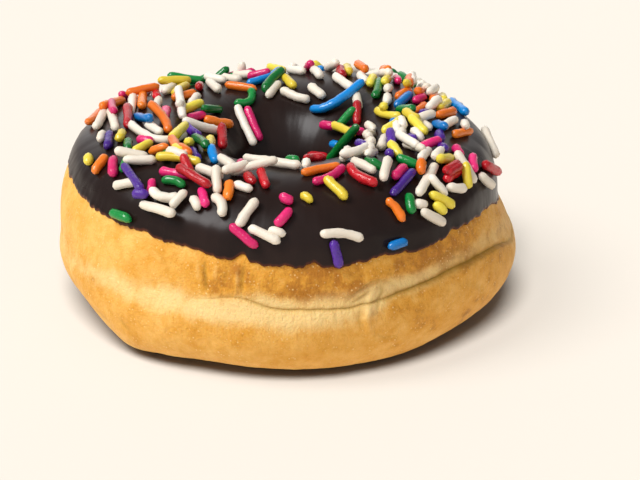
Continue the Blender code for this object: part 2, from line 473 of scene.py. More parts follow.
def friedDough(look):
    material = newMaterial("friedDough")
    tree = material.node_tree
    place = addNode(tree, "ShaderNodeTexCoord").outputs["Object"]
    pale = addNode(tree, "ShaderNodeAttribute", {"attribute_name": "paleBand"}).outputs["Fac"]
    brown = addNode(tree, "ShaderNodeAttribute", {"attribute_name": "crustBrown"}).outputs["Fac"]
    crease = addNode(tree, "ShaderNodeAttribute", {"attribute_name": "creaseShade"}).outputs["Fac"]

    patches = addNode(tree, "ShaderNodeTexNoise", None, {
        "Vector": place, "Scale": 1.0 / look["patchSize"], "Detail": 3.0, "Roughness": 0.6})
    mottle = addNode(tree, "ShaderNodeTexNoise", None, {
        "Vector": place, "Scale": 1.0 / look["mottleSize"], "Detail": 4.0, "Roughness": 0.65})
    patchShift = addNode(tree, "ShaderNodeMapRange", None, {
        "Value": patches.outputs["Fac"], "From Min": 0.3, "From Max": 0.7, "To Min": -0.28, "To Max": 0.28})
    mottleShift = addNode(tree, "ShaderNodeMapRange", None, {
        "Value": mottle.outputs["Fac"], "From Min": 0.3, "From Max": 0.7, "To Min": -0.24, "To Max": 0.24})
    shift = addNode(tree, "ShaderNodeMath", {"operation": "ADD"}, {
        0: patchShift.outputs["Result"], 1: mottleShift.outputs["Result"]})
    browned = addNode(tree, "ShaderNodeMath", {"operation": "ADD"}, {0: brown, 1: shift.outputs[0]})
    crust = addNode(tree, "ShaderNodeValToRGB", None, {"Fac": browned.outputs[0]})
    ramp = crust.color_ramp
    ramp.elements[0].position = 0.15
    ramp.elements[0].color = linearColour(look["gold"])
    ramp.elements[1].position = 0.72
    ramp.elements[1].color = linearColour(look["brown"])
    ramp.elements.new(1.0).color = linearColour(look["deepBrown"])

    paleShift = addNode(tree, "ShaderNodeMath", {"operation": "MULTIPLY_ADD"}, {
        0: shift.outputs[0], 1: -0.7, 2: pale})
    paleShare = addNode(tree, "ShaderNodeMapRange", {"interpolation_type": "SMOOTHSTEP"}, {
        "Value": paleShift.outputs[0], "From Min": 0.05, "From Max": 1.15})
    banded = addNode(tree, "ShaderNodeMix", {"data_type": "RGBA"}, {
        0: paleShare.outputs["Result"], 6: crust.outputs["Color"], 7: linearColour(look["pale"])})

    specks = addNode(tree, "ShaderNodeTexVoronoi", None, {"Vector": place, "Scale": 1.0 / look["speckSize"]})
    speckShare = addNode(tree, "ShaderNodeMapRange", {"interpolation_type": "SMOOTHSTEP"}, {
        "Value": specks.outputs["Distance"], "From Min": 0.34, "From Max": 0.08, "To Max": 0.7})
    speckChoice = addNode(tree, "ShaderNodeMapRange", None, {
        "Value": mottle.outputs["Fac"], "From Min": 0.48, "From Max": 0.62})
    speckMix = addNode(tree, "ShaderNodeMath", {"operation": "MULTIPLY"}, {
        0: speckShare.outputs["Result"], 1: speckChoice.outputs["Result"]})
    specked = addNode(tree, "ShaderNodeMix", {"data_type": "RGBA"}, {
        0: speckMix.outputs[0], 6: banded.outputs[2], 7: linearColour(look["speck"])})
    # painted shade: the crease and the fold grooves darkened towards olive-brown
    paintedCreaseShade = addNode(tree, "ShaderNodeMix", {"data_type": "RGBA"}, {
        0: crease, 6: specked.outputs[2], 7: linearColour(look["crease"])})

    pores = addNode(tree, "ShaderNodeTexNoise", None, {
        "Vector": place, "Scale": 1.0 / look["poreSize"], "Detail": 2.0, "Roughness": 0.6})
    upright = addNode(tree, "ShaderNodeVectorMath", {"operation": "MULTIPLY"}, {
        0: place, 1: (1.0, 1.0, look["wrinkleStretch"])}).outputs[0]
    wrinkles = addNode(tree, "ShaderNodeTexNoise", None, {
        "Vector": upright, "Scale": 1.0 / look["wrinkleSize"], "Detail": 3.0, "Roughness": 0.55})
    height = addNode(tree, "ShaderNodeMath", {"operation": "MULTIPLY_ADD"}, {
        0: wrinkles.outputs["Fac"], 1: 1.6, 2: pores.outputs["Fac"]})
    skin = addNode(tree, "ShaderNodeBump", None, {
        "Strength": 1.0, "Distance": 0.24 * mm, "Height": height.outputs[0]})
    shader = addNode(tree, "ShaderNodeBsdfPrincipled", None, {
        "Base Color": paintedCreaseShade.outputs[2], "Roughness": look["roughness"], "Specular IOR Level": 0.35,
        "Subsurface Weight": 0.15, "Subsurface Scale": 1.0 * mm, "Subsurface Radius": (2.0, 1.0, 0.4),
        "Normal": skin.outputs["Normal"]})
    addNode(tree, "ShaderNodeOutputMaterial", None, {"Surface": shader.outputs["BSDF"]})
    return material


dough = makeDough(doughSettings, friedDough(doughLook))
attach(dough, "root")
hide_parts("dough_ring")
print("dough made")


# The icing: a coat that follows the dough, thin at its ragged rim

icingSettings = {
    "columns": 840,
    "rows": 48,
    "thickness": 1.7 * mm,
    "rimThickness": 0.5 * mm,
    "rimWidth": 0.45 * mm,
    "slopeWidth": 5.0 * mm,
    "rippleHeight": 0.16 * mm,
    "rippleLength": 11.0 * mm,
    # Where the icing ends on the outer side: (turn, sweep)
    "outerEdge": (
        (10, 21), (30, 23), (50, 23), (70, 24), (95, 25), (120, 28), (145, 31), (165, 34), (182, 36), (190, 36),
        (196, 35), (205, 34), (213, 33.3), (232, 33), (237, 31), (247, 30.5), (249.5, 28), (251.5, 29.5),
        (253, 27.5), (256, 27.5), (258, 30.5), (260, 30.5), (261, 24), (264, 24.5), (266, 23), (268.5, 24.5),
        (271, 24.5), (273, 23), (276.5, 24.2), (280, 23), (290, 23.5), (294, 25), (300, 24), (310, 24.5),
        (320, 27), (335, 27), (342, 25), (348, 21.5), (352, 19.5),
    ),
    "holeEdge": ((0, 180), (40, 184), (75, 180), (120, 186), (160, 178), (200, 184), (240, 187), (280, 180), (320, 184)),
    "teeth": ((6.0, 0.35, 3), (2.4, 0.28, 4), (1.1, 0.22, 5)),  # (length in degrees of turn, height mm, seed)
    # Wrinkles in the set icing: path of (turn, sweep), height mm, half width mm
    "wrinkles": (
        (((276, 47), (281, 43), (287, 40), (292, 39.5), (297, 36), (301, 33)), 0.30, 0.9),
        (((279, 51), (285, 46), (292, 44)), -0.28, 1.3),
        (((290, 35), (296, 33), (300, 30)), -0.22, 0.9),
        (((343, 58), (349, 54), (355, 52)), 0.16, 0.7),
        (((341, 52), (348, 49), (354, 46)), -0.14, 0.8),
        (((240, 37), (246, 33), (252, 32)), -0.16, 1.4),
        (((232, 42), (238, 38), (243, 34)), 0.14, 1.2),
        (((272, 67), (279, 66), (286, 68)), -0.14, 1.2),
        (((262, 30), (266, 33), (270, 34)), -0.12, 1.0),
        (((80, 40), (92, 36), (104, 42)), 0.25, 1.2),
        (((120, 52), (130, 44), (134, 36)), -0.2, 1.3),
        (((20, 44), (32, 38), (46, 40)), 0.2, 1.2),
    ),
}


def icingCoatTree():
    tree = bpy.data.node_groups.new("icingCoat", "GeometryNodeTree")
    tree.interface.new_socket("Geometry", in_out="INPUT", socket_type="NodeSocketGeometry")
    for name in ("Thickness", "Rim Thickness", "Rim Width", "Slope Width", "Ripple Height", "Ripple Length", "Sink"):
        tree.interface.new_socket(name, in_out="INPUT", socket_type="NodeSocketFloat")
    tree.interface.new_socket("Material", in_out="INPUT", socket_type="NodeSocketMaterial")
    tree.interface.new_socket("Geometry", in_out="OUTPUT", socket_type="NodeSocketGeometry")
    given = addNode(tree, "NodeGroupInput").outputs
    rim = addNode(tree, "GeometryNodeInputNamedAttribute", None, {"Name": "rimDistance"}).outputs["Attribute"]
    inland = addNode(tree, "GeometryNodeInputNamedAttribute", None, {"Name": "inland"}).outputs["Attribute"]
    wrinkle = addNode(tree, "GeometryNodeInputNamedAttribute", None, {"Name": "wrinkle"}).outputs["Attribute"]
    normal = addNode(tree, "GeometryNodeInputNormal").outputs["Normal"]

    # A quarter round at the rim: the square root of 1 - (1 - share) squared
    share = addNode(tree, "ShaderNodeMath", {"operation": "DIVIDE", "use_clamp": True}, {
        0: rim, 1: given["Rim Width"]}).outputs[0]
    rest = addNode(tree, "ShaderNodeMath", {"operation": "SUBTRACT"}, {0: 1.0, 1: share}).outputs[0]
    square = addNode(tree, "ShaderNodeMath", {"operation": "MULTIPLY"}, {0: rest, 1: rest}).outputs[0]
    inside = addNode(tree, "ShaderNodeMath", {"operation": "SUBTRACT"}, {0: 1.0, 1: square}).outputs[0]
    quarterRound = addNode(tree, "ShaderNodeMath", {"operation": "SQRT"}, {0: inside}).outputs[0]
    rimHeight = addNode(tree, "ShaderNodeMath", {"operation": "MULTIPLY"}, {
        0: quarterRound, 1: given["Rim Thickness"]}).outputs[0]

    # Then a gentle slope up to the full thickness
    slope = addNode(tree, "ShaderNodeMapRange", {"interpolation_type": "SMOOTHSTEP"}, {
        "Value": inland, "From Max": given["Slope Width"]}).outputs["Result"]
    body = addNode(tree, "ShaderNodeMath", {"operation": "SUBTRACT"}, {
        0: given["Thickness"], 1: given["Rim Thickness"]}).outputs[0]
    coat = addNode(tree, "ShaderNodeMath", {"operation": "MULTIPLY_ADD"}, {0: slope, 1: body, 2: rimHeight}).outputs[0]

    scale = addNode(tree, "ShaderNodeMath", {"operation": "DIVIDE"}, {0: 1.0, 1: given["Ripple Length"]}).outputs[0]
    ripples = addNode(tree, "ShaderNodeTexNoise", {"normalize": False}, {"Scale": scale, "Detail": 2.0})
    rippleHeight = addNode(tree, "ShaderNodeMath", {"operation": "MULTIPLY"}, {
        0: ripples.outputs["Fac"], 1: given["Ripple Height"]}).outputs[0]
    uneven = addNode(tree, "ShaderNodeMath", {"operation": "ADD"}, {0: rippleHeight, 1: wrinkle}).outputs[0]
    top = addNode(tree, "ShaderNodeMath", {"operation": "MULTIPLY_ADD"}, {0: uneven, 1: slope, 2: coat}).outputs[0]
    topOffset = addNode(tree, "ShaderNodeVectorMath", {"operation": "SCALE"}, {0: normal, "Scale": top}).outputs[0]
    topSkin = addNode(tree, "GeometryNodeSetPosition", None, {
        "Geometry": given["Geometry"], "Offset": topOffset}).outputs[0]

    # The underside sinks a little into the dough, except at the rim, where both skins meet
    sunk = addNode(tree, "ShaderNodeMath", {"operation": "MULTIPLY"}, {0: share, 1: given["Sink"]}).outputs[0]
    down = addNode(tree, "ShaderNodeMath", {"operation": "MULTIPLY"}, {0: sunk, 1: -1.0}).outputs[0]
    underOffset = addNode(tree, "ShaderNodeVectorMath", {"operation": "SCALE"}, {0: normal, "Scale": down}).outputs[0]
    underSkin = addNode(tree, "GeometryNodeSetPosition", None, {
        "Geometry": given["Geometry"], "Offset": underOffset}).outputs[0]
    turnedOver = addNode(tree, "GeometryNodeFlipFaces", None, {"Mesh": underSkin}).outputs[0]

    both = addNode(tree, "GeometryNodeJoinGeometry", None, {"Geometry": topSkin})
    tree.links.new(turnedOver, both.inputs["Geometry"])
    closed = addNode(tree, "GeometryNodeMergeByDistance", None, {
        "Geometry": both.outputs[0], "Distance": 0.002 * mm}).outputs[0]
    smooth = addNode(tree, "GeometryNodeSetShadeSmooth", None, {"Geometry": closed}).outputs[0]
    realized = addNode(tree, "GeometryNodeRealizeInstances", None, {"Geometry": smooth}).outputs[0]
    finished = addNode(tree, "GeometryNodeSetMaterial", None, {
        "Geometry": realized, "Material": given["Material"]}).outputs[0]
    addNode(tree, "NodeGroupOutput", None, {"Geometry": finished})
    return tree


def makeIcing(settings, material):
    columns = settings["columns"]
    rows = settings["rows"]
    turn = np.arange(columns) * 360.0 / columns
    outer = roundTheRing(turn, settings["outerEdge"], 0.5)
    hole = roundTheRing(turn, settings["holeEdge"], 6.0)
    ragged = sum(height * ringNoise(turn, length, seed) for length, height, seed in settings["teeth"])

    # Distance from the outer rim to each row, in mm: close together at both rims
    width = 48.0
    step = np.linspace(0.0, 1.0, rows)
    fromRim = width * (step + 0.62 * (np.sin(2.0 * np.pi * step - np.pi) / (2.0 * np.pi)) * 1.6)
    fromRim = np.maximum.accumulate(fromRim)
    share = fromRim / fromRim[-1]
    smoothSweep = outer[:, None] + (hole - outer)[:, None] * share[None, :]
    nearOuter = np.exp(-fromRim / 1.0)[None, :]
    nearHole = np.exp(-(fromRim[-1] - fromRim) / 1.0)[None, :]
    sweep = smoothSweep + ragged[:, None] / sweepStep * (nearOuter - 0.8 * nearHole)
    points, _ = doughSkin(turn, sweep, doughSettings)
    steps = np.linalg.norm(np.diff(points, axis=1), axis=2)
    fromOuter = np.concatenate([np.zeros((columns, 1)), np.cumsum(steps, axis=1)], axis=1)
    rimDistance = np.minimum(fromOuter, fromOuter[:, -1:] - fromOuter)
    wrinkle = np.zeros(sweep.shape)
    for path, height, halfWidth in settings["wrinkles"]:
        away, _, along = nearPath(turn, sweep, path)
        wrinkle += height * mm * np.sin(np.pi * along) ** 0.7 * np.exp(-(away / halfWidth) ** 2)

    icing = objectFromMesh("chocolateIcing", points.reshape(-1, 3), gridFaces(columns, rows, False))
    storeValues(icing, "rimDistance", rimDistance)
    storeValues(icing, "inland", np.minimum(fromRim, fromRim[-1] - fromRim)[None, :] * mm + 0.0 * rimDistance)
    storeValues(icing, "wrinkle", wrinkle)
    applyTree(icing, icingCoatTree(), {
        "Thickness": settings["thickness"], "Rim Thickness": settings["rimThickness"],
        "Rim Width": settings["rimWidth"], "Slope Width": settings["slopeWidth"],
        "Ripple Height": settings["rippleHeight"], "Ripple Length": settings["rippleLength"],
        "Sink": 0.15 * mm, "Material": material})
    return icing


# Set chocolate icing: a very dark brown fondant, satin, with a soft wide sheen, redder where it is thin
icingLook = {
    "body": "#1f1310",
    "rim": "#5a2a17",
    "bloom": "#291a16",
    "rimWidth": 0.7 * mm,
    "bloomSize": 14.0 * mm,
    "grainSize": 1.4 * mm,
    "roughness": 0.30,
}


def chocolateIcing(look):
    material = newMaterial("chocolateIcing")
    tree = material.node_tree
    place = addNode(tree, "ShaderNodeTexCoord").outputs["Object"]
    rim = addNode(tree, "ShaderNodeAttribute", {"attribute_name": "rimDistance"}).outputs["Fac"]
    bloomNoise = addNode(tree, "ShaderNodeTexNoise", None, {
        "Vector": place, "Scale": 1.0 / look["bloomSize"], "Detail": 3.0})
    bloomShare = addNode(tree, "ShaderNodeMapRange", None, {
        "Value": bloomNoise.outputs["Fac"], "From Min": 0.4, "From Max": 0.75})
    body = addNode(tree, "ShaderNodeMix", {"data_type": "RGBA"}, {
        0: bloomShare.outputs["Result"], 6: linearColour(look["body"]), 7: linearColour(look["bloom"])})
    rimShare = addNode(tree, "ShaderNodeMapRange", {"interpolation_type": "SMOOTHSTEP"}, {
        "Value": rim, "From Min": 0.0, "From Max": look["rimWidth"], "To Min": 0.9, "To Max": 0.0})
    colour = addNode(tree, "ShaderNodeMix", {"data_type": "RGBA"}, {
        0: rimShare.outputs["Result"], 6: body.outputs[2], 7: linearColour(look["rim"])})
    grain = addNode(tree, "ShaderNodeTexNoise", None, {
        "Vector": place, "Scale": 1.0 / look["grainSize"], "Detail": 3.0})
    gloss = addNode(tree, "ShaderNodeMapRange", None, {
        "Value": bloomNoise.outputs["Fac"], "From Min": 0.3, "From Max": 0.7,
        "To Min": look["roughness"] - 0.04, "To Max": look["roughness"] + 0.06})
    skin = addNode(tree, "ShaderNodeBump", None, {
        "Strength": 0.25, "Distance": 0.05 * mm, "Height": grain.outputs["Fac"]})
    shader = addNode(tree, "ShaderNodeBsdfPrincipled", None, {
        "Base Color": colour.outputs[2], "Roughness": gloss.outputs["Result"], "Specular IOR Level": 0.2,
        "Normal": skin.outputs["Normal"]})
    addNode(tree, "ShaderNodeOutputMaterial", None, {"Surface": shader.outputs["BSDF"]})
    return material


icing = makeIcing(icingSettings, chocolateIcing(icingLook))
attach(icing, "root")
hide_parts("chocolate_icing")
print("icing made")


# The sprinkles: sugar rods lying where they fell, on the icing and on each other

# Each sprinkle: its colour, the (turn, sweep) of the middle of each rounded end and, for a bent one, of its middle.
# Later ones lie on earlier ones.
laidSprinkles = (
    # over the left shoulder
    ("white", (165, 59.5), (181, 61.5)), ("white", (168, 65), (185, 71)), ("orange", (150, 50), (174, 55.5)),
    ("orange", (152, 58), (166, 61)), ("pink", (145, 53), (150, 58)), ("pink", (161, 62), (173, 70)),
    ("orange", (148, 68), (161, 79)), ("red", (141, 67), (149, 79)), ("white", (147, 60), (168, 76)),
    ("white", (152.5, 83), (162, 88)), ("orange", (137, 92), (146, 89)), ("white", (141, 76), (128, 62)),
    ("yellow", (131, 76), (142, 85)), ("green", (129, 60), (122, 68)),
    ("red", (127, 81), (133, 92)), ("white", (138, 97), (148, 102)), ("yellow", (148, 107), (160, 103)),
    ("white", (152, 99), (166, 103)), ("pink", (163, 94.5), (176, 97)), ("pink", (155.5, 114), (165.5, 110)),
    ("green", (139, 115), (152, 113)), ("orange", (144, 127), (157, 118)),
    ("white", (143, 87), (175, 107), (160, 102)), ("white", (161, 128), (176, 109), (172, 121)),
    ("purple", (184, 109), (198, 114)),
    ("red", (170, 75.5), (184, 77.5)), ("white", (187, 89), (196, 93)), ("blue", (175, 82), (188, 90)),
    ("orange", (173, 88.5), (193, 98), (182, 97)), ("white", (184, 80.5), (197, 105), (205, 89)),
    ("yellow", (198, 106), (211, 93)), ("yellow", (201, 120), (222, 107), (211, 117)),
    ("pink", (201, 80.5), (204, 84)), ("yellow", (206.5, 82), (208.5, 73)), ("yellow", (191, 73.5), (195.5, 71)),
    ("green", (200, 74), (205, 71)), ("white", (188, 63.5), (190.5, 62.5)), ("purple", (189.5, 67), (197.5, 63.5)),
    ("yellow", (198, 52), (199.5, 51)), ("orange", (204, 58), (206, 51)), ("pink", (208, 60.5), (213, 55)),
    ("green", (211.5, 65), (214.5, 59.5)), ("white", (210.5, 64), (215, 72)), ("white", (214.5, 64), (219, 73)),
    # left front
    ("white", (218, 50), (223, 56)), ("purple", (216.5, 60), (228, 51.5)), ("purple", (227.5, 49.5), (229.5, 50.5)),
    ("green", (221, 36.5), (225.5, 36.5)), ("green", (231.5, 63), (236.5, 63.5), (234, 65.5)),
    ("pink", (227.5, 59.5), (229, 55)), ("white", (232, 54.5), (237, 56.5), (234.5, 52.5)), ("white", (240, 57.5), (239, 50.5)),
    ("white", (243.5, 56.5), (245, 53.5)), ("pink", (244, 63), (247, 55)), ("white", (249, 58.5), (252, 51), (251.7, 57)),
    ("white", (230, 46), (240, 44.3)), ("pink", (227.5, 69), (236, 72)), ("white", (238, 79.5), (246, 77)),
    ("white", (246, 77), (248.8, 66)), ("red", (234, 72), (245.7, 65.3)), ("yellow", (222, 75), (235, 82.5), (227.5, 81.5)),
    ("red", (231.5, 80), (235, 76)), ("green", (218.5, 86), (220.5, 81)), ("white", (223, 81.5), (229, 82.5)),
    ("orange", (213, 92), (222, 86)), ("orange", (224, 88), (229, 86)), ("purple", (223.5, 95.5), (231.5, 89)),
    ("green", (205, 110), (228.5, 98), (216, 107.5)), ("blue", (232, 100.5), (238, 93.5)), ("yellow", (213, 103), (222, 94)),
    ("white", (241, 95), (247, 91)), ("orange", (251.7, 70.5), (252.8, 61.8)), ("white", (254.5, 71.5), (258.2, 69.3)),
    ("pink", (249.5, 98), (250.5, 94)), ("orange", (214, 79.5), (217.5, 83)), ("yellow", (222, 86), (226, 84)),
    # front
    ("red", (256.5, 81), (258.5, 76)), ("red", (260.6, 86), (263.5, 73)), ("pink", (256.5, 43.8), (262, 35.3)),
    ("white", (261, 58.5), (258.2, 46.3)), ("white", (261.5, 43.5), (267.6, 37.4)), ("white", (266.8, 42.7), (268.7, 41.4)),
    ("pink", (270.5, 53), (268.3, 47)), ("pink", (269.6, 63), (271, 61)), ("yellow", (275.4, 63), (276.5, 60.5)),
    ("pink", (280, 74), (291, 84), (285, 76.5)), ("yellow", (283.8, 72), (286.8, 60.6)), ("orange", (277.5, 83.5), (290, 86.5)),
    ("white", (278.6, 94), (279.5, 99)), ("white", (250.5, 83), (265, 89.5)), ("white", (249, 78), (254, 87)),
    ("white", (250, 107), (274.5, 94)),
    ("green", (272, 107), (275, 104)), ("red", (283.5, 109), (291, 112), (286.5, 115)),
    ("purple", (281.7, 34), (282.6, 24.5)), ("white", (279.7, 39), (288, 35.5), (284, 39.7)), ("blue", (297.2, 29.7), (300, 30.3)),
    # right front
    ("white", (300, 91), (301.5, 77)), ("green", (304.8, 87), (304.2, 82)), ("green", (303, 79), (305, 75)),
    ("red", (296, 83), (298.3, 66.5), (294.8, 75)), ("white", (307.5, 77), (301.7, 66.6)), ("pink", (312.3, 72), (307, 67.8)),
    ("purple", (302.5, 57.7), (313, 66.5)), ("green", (316, 79.5), (317.8, 71)), ("orange", (315.5, 65), (317, 68)),
    ("green", (306.3, 52.5), (304.8, 45.6)), ("white", (307.8, 48), (309, 47)), ("orange", (299, 52), (300.3, 42.8), (300.8, 47.5)),
    ("white", (309.4, 52.8), (322.5, 64.5)), ("white", (316, 57), (317.8, 49)), ("yellow", (313.5, 48.8), (317.3, 41.3)),
    ("yellow", (312.8, 43), (313.8, 40)), ("white", (308, 42), (312.7, 34.7)), ("white", (321.2, 49.6), (324.6, 46.2)),
    ("red", (322.5, 54.3), (328.5, 55)), ("red", (322.5, 57.2), (328.5, 57.6)), ("red", (323, 56), (328, 56)),
    ("yellow", (330, 54), (328, 46.5)), ("yellow", (325, 65), (332, 64)), ("white", (325, 68), (329, 69.3)),
    ("white", (333.5, 62), (331.5, 47)), ("pink", (340.3, 55.3), (335.8, 51)), ("red", (342, 47.5), (349, 38)),
    ("white", (336.5, 44.5), (338.8, 38)), ("pink", (339.5, 65.5), (337, 62)), ("purple", (336.5, 72), (332.5, 68.5)),
    ("white", (329.5, 75.5), (320, 71)), ("white", (330.5, 89), (325.5, 76.5)), ("pink", (331, 80), (337, 75.5)),
    ("white", (307, 91.5), (313, 96)), ("purple", (338.5, 91.5), (331.5, 86.5)), ("purple", (312.5, 83), (317, 89)), ("yellow", (321.5, 92), (319, 84)),
    ("white", (312, 96), (314, 103)), ("white", (306, 100), (310, 94)), ("purple", (312.5, 101), (315, 108)),
    ("white", (326, 80), (332.5, 95)), ("white", (336, 95), (348, 100)), ("white", (322, 99), (337, 106)),
    ("white", (298, 99), (304, 105)), ("white", (297, 96), (309, 98), (303, 94)), ("purple", (328, 97), (334, 101)),
    ("white", (316, 98), (324, 108), (318, 104)), ("white", (322, 105), (336, 114)), ("white", (330, 111), (350, 117)),
    ("white", (339, 86), (346, 92)), ("white", (340, 99), (350, 103)), ("white", (352, 85), (359, 90)),
    # right shoulder
    ("purple", (342.5, 75.5), (347, 77.5)), ("blue", (349, 76.5), (356, 81)), ("orange", (350.5, 69.5), (357.5, 62)),
    ("white", (355, 66), (4, 64)), ("white", (356, 76), (3, 70)), ("white", (356, 91), (359, 84)), ("yellow", (346, 86), (354, 94)),
    ("yellow", (354, 92), (2, 97)), ("blue", (354, 104), (359, 102)), ("yellow", (341, 106), (352, 101)),
    ("white", (346, 98), (353, 100)), ("purple", (1.5, 88.5), (7, 86)), ("green", (4, 93.5), (14, 98)), ("orange", (10, 90), (15, 84)),
    ("orange", (6, 78), (11, 69)), ("yellow", (12.5, 76), (20, 67)), ("white", (10, 83), (16, 76)), ("blue", (19, 97.5), (25.5, 87)),
    ("pink", (20.5, 85.5), (23, 80)), ("orange", (25, 82), (29, 76)), ("orange", (21, 75), (28, 68)), ("white", (24, 76), (30, 66)),
    ("yellow", (4, 101), (20, 108.5), (10, 107)), ("yellow", (13, 107), (21, 105)), ("white", (25, 101), (30, 97.5)),
    ("white", (33, 95), (38.5, 89)), ("green", (36, 101), (46.5, 86)), ("white", (35, 114), (44, 108)), ("red", (21, 122), (31, 115)),
    ("pink", (4, 123.5), (14, 127.5)), ("green", (32, 131), (28, 120)), ("white", (0, 117), (7, 118.5)), ("yellow", (4, 128), (28, 132)),
    ("pink", (34, 133), (43, 134)), ("green", (12, 147), (359, 123)), ("blue", (14, 139), (22, 140)), ("red", (28, 148), (50, 150)),
    ("blue", (66, 122), (47, 101), (52, 121)), ("white", (65.5, 114), (74, 108)), ("white", (53.5, 101.5), (65.5, 93)),
    ("white", (73.5, 94), (78, 83)), ("yellow", (47.5, 92), (51.5, 83)), ("white", (52, 90), (58, 82)), ("orange", (56, 83), (62, 75)),
    ("yellow", (63, 83), (67, 72)), ("red", (64, 89), (67.5, 80)), ("orange", (27.5, 92), (32, 82)), ("yellow", (32, 84), (38, 74)),
    ("orange", (34, 80), (40, 72)), ("white", (36, 76), (42, 68)), ("yellow", (42, 88), (47, 78)), ("pink", (43, 76), (48, 69)),
    ("white", (46, 80), (53, 72)), ("orange", (50, 74), (55, 66)), ("white", (29, 74), (35, 63)), ("blue", (15.5, 59), (27, 57)), ("white", (3, 38), (15, 43)),
    ("yellow", (24, 66), (30, 60)),
    # back
    ("white", (75.5, 117.5), (90, 110.5), (83, 116)), ("yellow", (86, 105), (90, 96)), ("white", (100, 112.5), (94, 103)),
    ("green", (92, 93), (101, 108), (97, 100)), ("blue", (93.5, 78), (107, 94), (97, 89)), ("pink", (98, 86), (104, 82)),
    ("orange", (108, 104), (117, 93), (113, 98)), ("green", (111.5, 106), (122, 112.5), (114, 115)), ("white", (124.5, 96), (122, 81)),
    ("white", (83, 84), (88, 76)), ("pink", (80, 82), (82, 72)), ("white", (110, 84), (113, 74)), ("white", (116, 80), (119, 71)),
    ("yellow", (128, 72), (136, 66)), ("orange", (143, 72), (150, 63)), ("white", (104, 78), (108, 70)), ("white", (70, 80), (74, 72)),
    # in the hole
    ("white", (126, 119), (132, 143)), ("pink", (120, 122), (120, 140)), ("red", (166, 127), (190, 131)),
)

sprinkleSettings = {
    "thickness": (0.90 * mm, 1.04 * mm),  # half of a rod's width
    "sink": 0.18 * mm,  # how far a rod sets into the icing
    "press": 0.45 * mm,  # how far a rod presses into another one
    "mostRise": 1.3 * mm,  # how high a rod is borne up by others
    "capSpacing": (0.0, 0.14, 0.45, 1.0),  # rings of a rounded end, in half widths from its tip
    "steepest": 0.45,
    "crook": 0.10,  # how crooked a straight rod is, as a share of its half width
    "sides": 8,
    "dentDepth": 0.21 * mm,
    "dentSize": 1.3 * mm,
    "seed": 11,
    # Further sprinkles: how many, between which turns, between which sweeps
    "scattered": (
        (34, 38, 145, 38, 55), (8, 60, 125, 26, 40), (6, 200, 330, 150, 172),
    ),
    "tries": 6,
    "scatteredLength": (3.6 * mm, 8.5 * mm),
    "scatteredColours": (
        ("white", 0.36), ("yellow", 0.13), ("orange", 0.12), ("green", 0.11), ("pink", 0.11), ("red", 0.07),
        ("blue", 0.05), ("purple", 0.05),
    ),
}


def surfaceTree(piece):
    solid = bmesh.new()
    solid.from_mesh(piece.data)
    tree = BVHTree.FromBMesh(solid)
    solid.free()
    return tree


coatTrees = (surfaceTree(icing), surfaceTree(dough))


# The outermost place of the icing or the dough at these two angles, and the direction straight out of it
def placeOnCoat(turn, sweep):
    around = math.radians(turn)
    over = math.radians(sweep)
    outward = Vector((math.cos(around), math.sin(around), 0.0))
    direction = outward * math.cos(over) + Vector((0.0, 0.0, math.sin(over)))
    core = ring["middle"] + outward * ring["coreRadius"]
    reach = 0.95 * ring["coreRadius"]
    hits = [tree.ray_cast(core + direction * reach, -direction) for tree in coatTrees]
    hits = [hit for hit in hits if hit[0] is not None]
    nearest = min(hits, key=lambda hit: hit[3])
    return nearest[0], direction


# How high above this point the coat lies, seen along the way up
def coatHeight(point, up):
    reach = 9.0 * mm
    hits = [tree.ray_cast(point + up * reach, -up) for tree in coatTrees]
    heights = [reach - hit[3] for hit in hits if hit[0] is not None]
    return max(heights) if heights else -reach


# The lowest straight line that clears every need, seen at the middle of the rod: its height at both ends
def restingLine(shares, needs):
    best = None
    for i, start in enumerate(shares):
        for j, end in enumerate(shares):
            if start <= 0.5 <= end and start < end:
                slope = (needs[j] - needs[i]) / (end - start)
                first = needs[i] - slope * start
                clear = all(first + slope * share >= need - 0.02 * mm for share, need in zip(shares, needs))
                middle = first + 0.5 * slope
                if clear and (best is None or middle < best[0]):
                    best = (middle, first, first + slope)
    return best[1:] if best else (max(needs), max(needs))


